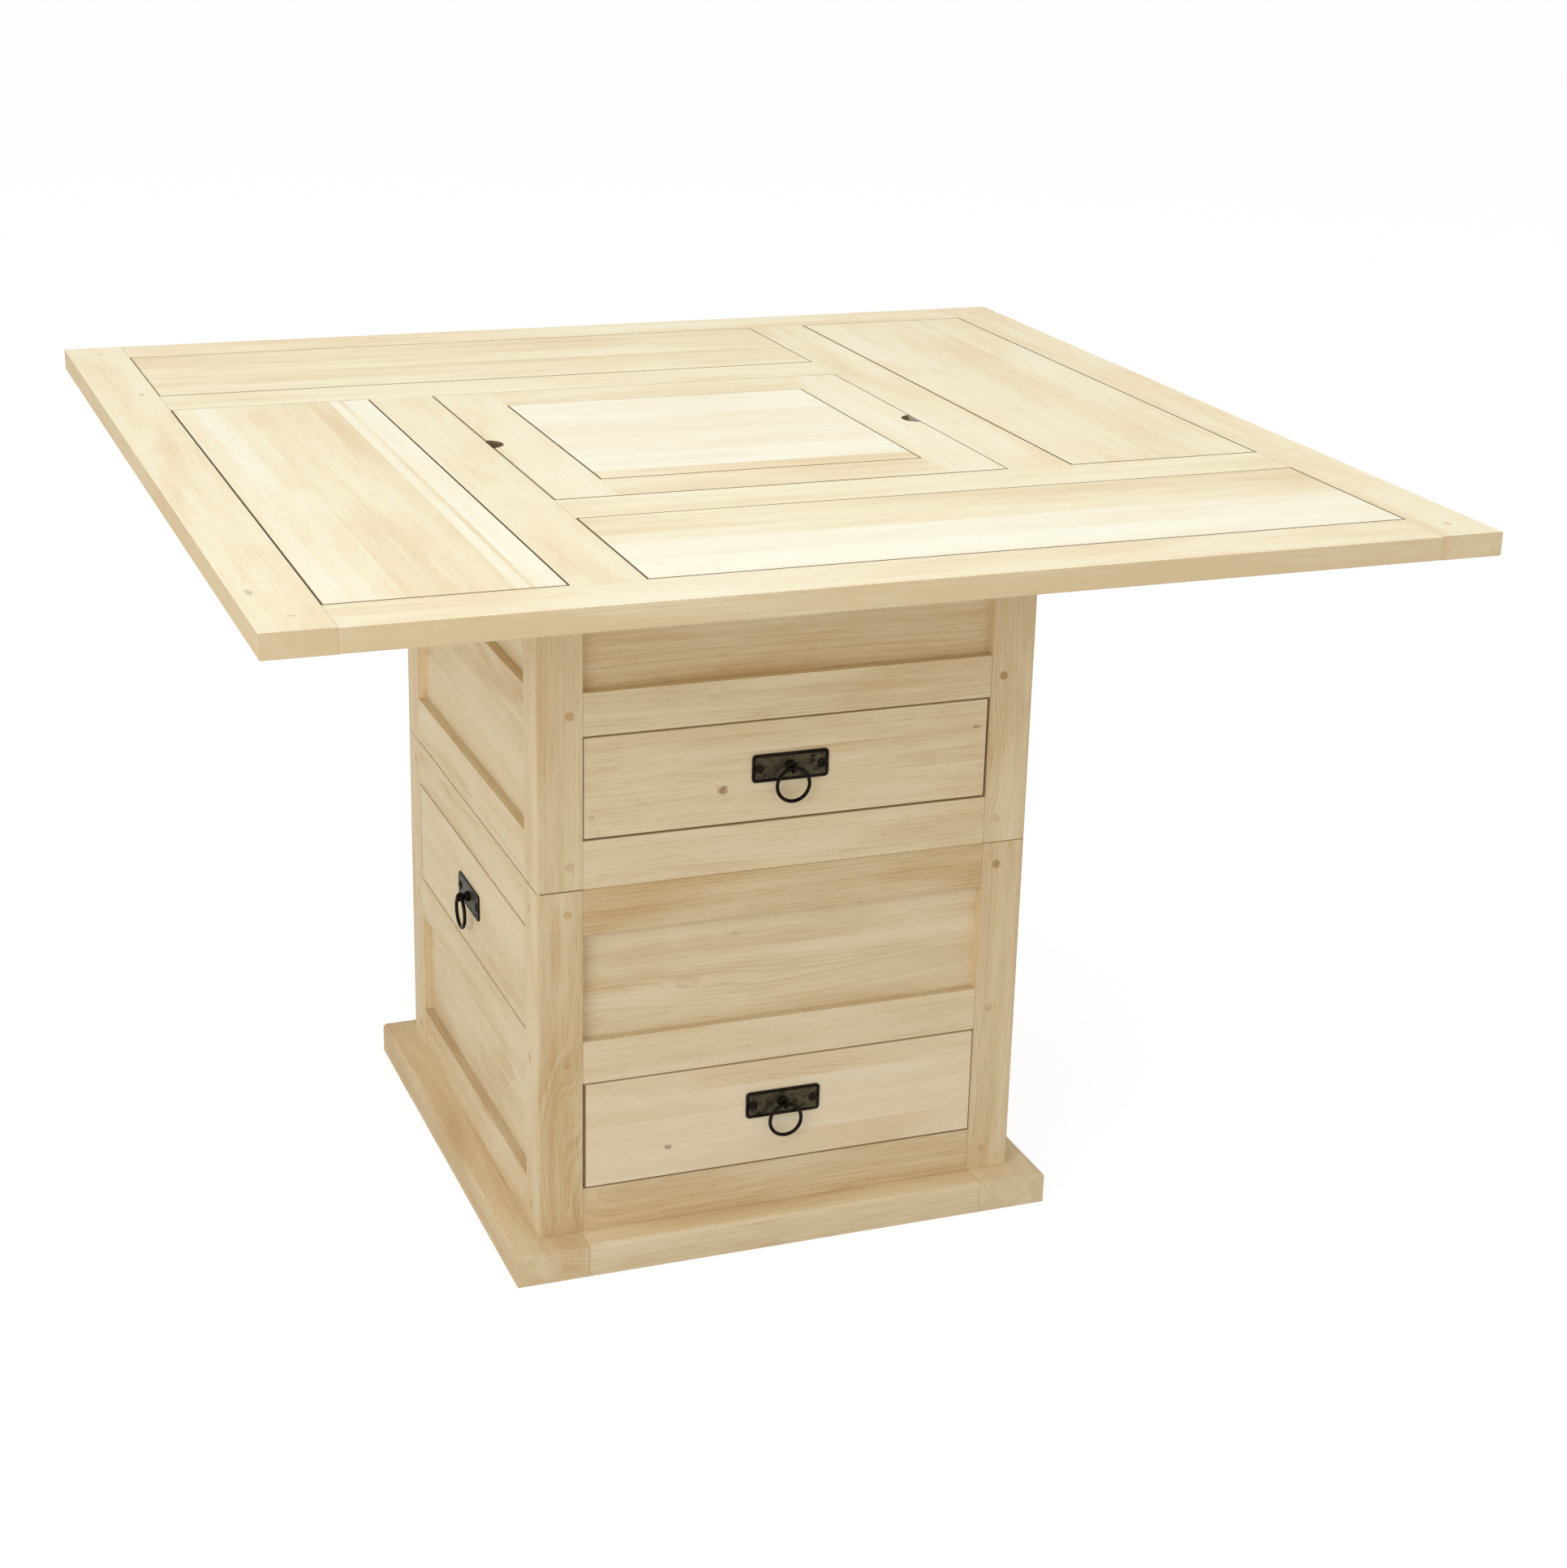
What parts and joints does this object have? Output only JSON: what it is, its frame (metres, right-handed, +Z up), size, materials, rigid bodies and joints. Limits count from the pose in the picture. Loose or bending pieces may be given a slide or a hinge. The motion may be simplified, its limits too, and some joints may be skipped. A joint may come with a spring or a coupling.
{
  "type": "convertible coffee table",
  "caption": "Square pale wood table on a stacked pedestal with ring-pull drawers; the top lifts off and its lid opens a bin",
  "frame": {"origin": "on the floor under the middle of the table", "axes": "+X to the right along the front, +Y to the back, +Z up"},
  "size_m": [1.1, 1.1, 0.758],
  "materials": {
    "top_wood": "pale raw hardwood, lightly sanded",
    "case_wood": "pale raw hardwood, lightly sanded",
    "inner_wood": "plain raw hardwood",
    "dark_metal": "dark bronzed iron, satin"
  },
  "bodies": {
    "lower_case": {"plinth_rails": "case_wood", "plinth_floor": "inner_wood", "lower_posts": "case_wood", "lower_front_rails": "case_wood", "lower_front_panel": "case_wood", "lower_right_rails": "case_wood", "lower_right_panels": "case_wood", "lower_back_rails": "case_wood", "lower_back_panels": "case_wood", "lower_left_rails": "case_wood", "lower_left_panel": "case_wood", "lower_dowels": "inner_wood", "lower_runners": "inner_wood"},
    "upper_case": {"upper_posts": "case_wood", "upper_front_rails": "case_wood", "upper_front_panel": "case_wood", "upper_right_rails": "case_wood", "upper_right_panels": "case_wood", "upper_back_rails": "case_wood", "upper_back_panels": "case_wood", "upper_left_rails": "case_wood", "upper_left_panels": "case_wood", "upper_dowels": "inner_wood", "upper_runners": "inner_wood", "bin_floor": "inner_wood"},
    "table_top": {"top_left_rail": "top_wood", "inner_left_rail": "top_wood", "top_left_panel": "top_wood", "top_right_rail": "top_wood", "inner_right_rail": "top_wood", "top_right_panel": "top_wood", "top_front_rail": "top_wood", "inner_front_rail": "top_wood", "top_front_panel": "top_wood", "top_back_rail": "top_wood", "inner_back_rail": "top_wood", "top_back_panel": "top_wood"},
    "lid": {"lid_left_rail": "top_wood", "lid_right_rail": "top_wood", "lid_front_rail": "top_wood", "lid_back_rail": "top_wood", "lid_panel": "top_wood"},
    "upper_drawer": {"upper_drawer_front": "case_wood", "upper_drawer_box": "inner_wood", "upper_drawer_bottom": "inner_wood", "upper_drawer_pull_plate": "dark_metal", "upper_drawer_pull_eye": "dark_metal"},
    "upper_ring": {"upper_drawer_pull_ring": "dark_metal"},
    "lower_drawer": {"lower_drawer_front": "case_wood", "lower_drawer_box": "inner_wood", "lower_drawer_bottom": "inner_wood", "lower_drawer_pull_plate": "dark_metal", "lower_drawer_pull_eye": "dark_metal"},
    "lower_ring": {"lower_drawer_pull_ring": "dark_metal"},
    "left_drawer": {"left_drawer_front": "case_wood", "left_drawer_box": "inner_wood", "left_drawer_bottom": "inner_wood", "left_drawer_pull_plate": "dark_metal", "left_drawer_pull_eye": "dark_metal"},
    "left_ring": {"left_drawer_pull_ring": "dark_metal"}
  },
  "joints": [
    {"name": "upper_case_lift", "type": "slide", "parent": "lower_case", "child": "upper_case", "axis": [0, 0, 1], "range_m": [0, 0.15]},
    {"name": "table_top_lift", "type": "slide", "parent": "upper_case", "child": "table_top", "axis": [0, 0, 1], "range_m": [0, 0.15]},
    {"name": "lid_lift", "type": "slide", "parent": "upper_case", "child": "lid", "axis": [0, 0, 1], "range_m": [0, 0.15]},
    {"name": "upper_drawer_slide", "type": "slide", "parent": "upper_case", "child": "upper_drawer", "axis": [0, -1, 0], "range_m": [0, 0.3]},
    {"name": "lower_drawer_slide", "type": "slide", "parent": "lower_case", "child": "lower_drawer", "axis": [0, -1, 0], "range_m": [0, 0.3]},
    {"name": "left_drawer_slide", "type": "slide", "parent": "lower_case", "child": "left_drawer", "axis": [-1, 0, 0], "range_m": [0, 0.3]},
    {"name": "upper_ring_swing", "type": "hinge", "parent": "upper_drawer", "child": "upper_ring", "pos_m": [-0.0006, -0.2576, 0.493], "axis": [-1, 0, 0], "range_deg": [-10, 110]},
    {"name": "lower_ring_swing", "type": "hinge", "parent": "lower_drawer", "child": "lower_ring", "pos_m": [0.0006, -0.2576, 0.143], "axis": [-1, 0, 0], "range_deg": [-10, 110]},
    {"name": "left_ring_swing", "type": "hinge", "parent": "left_drawer", "child": "left_ring", "pos_m": [-0.2576, 0, 0.2935], "axis": [0, 1, 0], "range_deg": [-10, 110]}
  ]
}
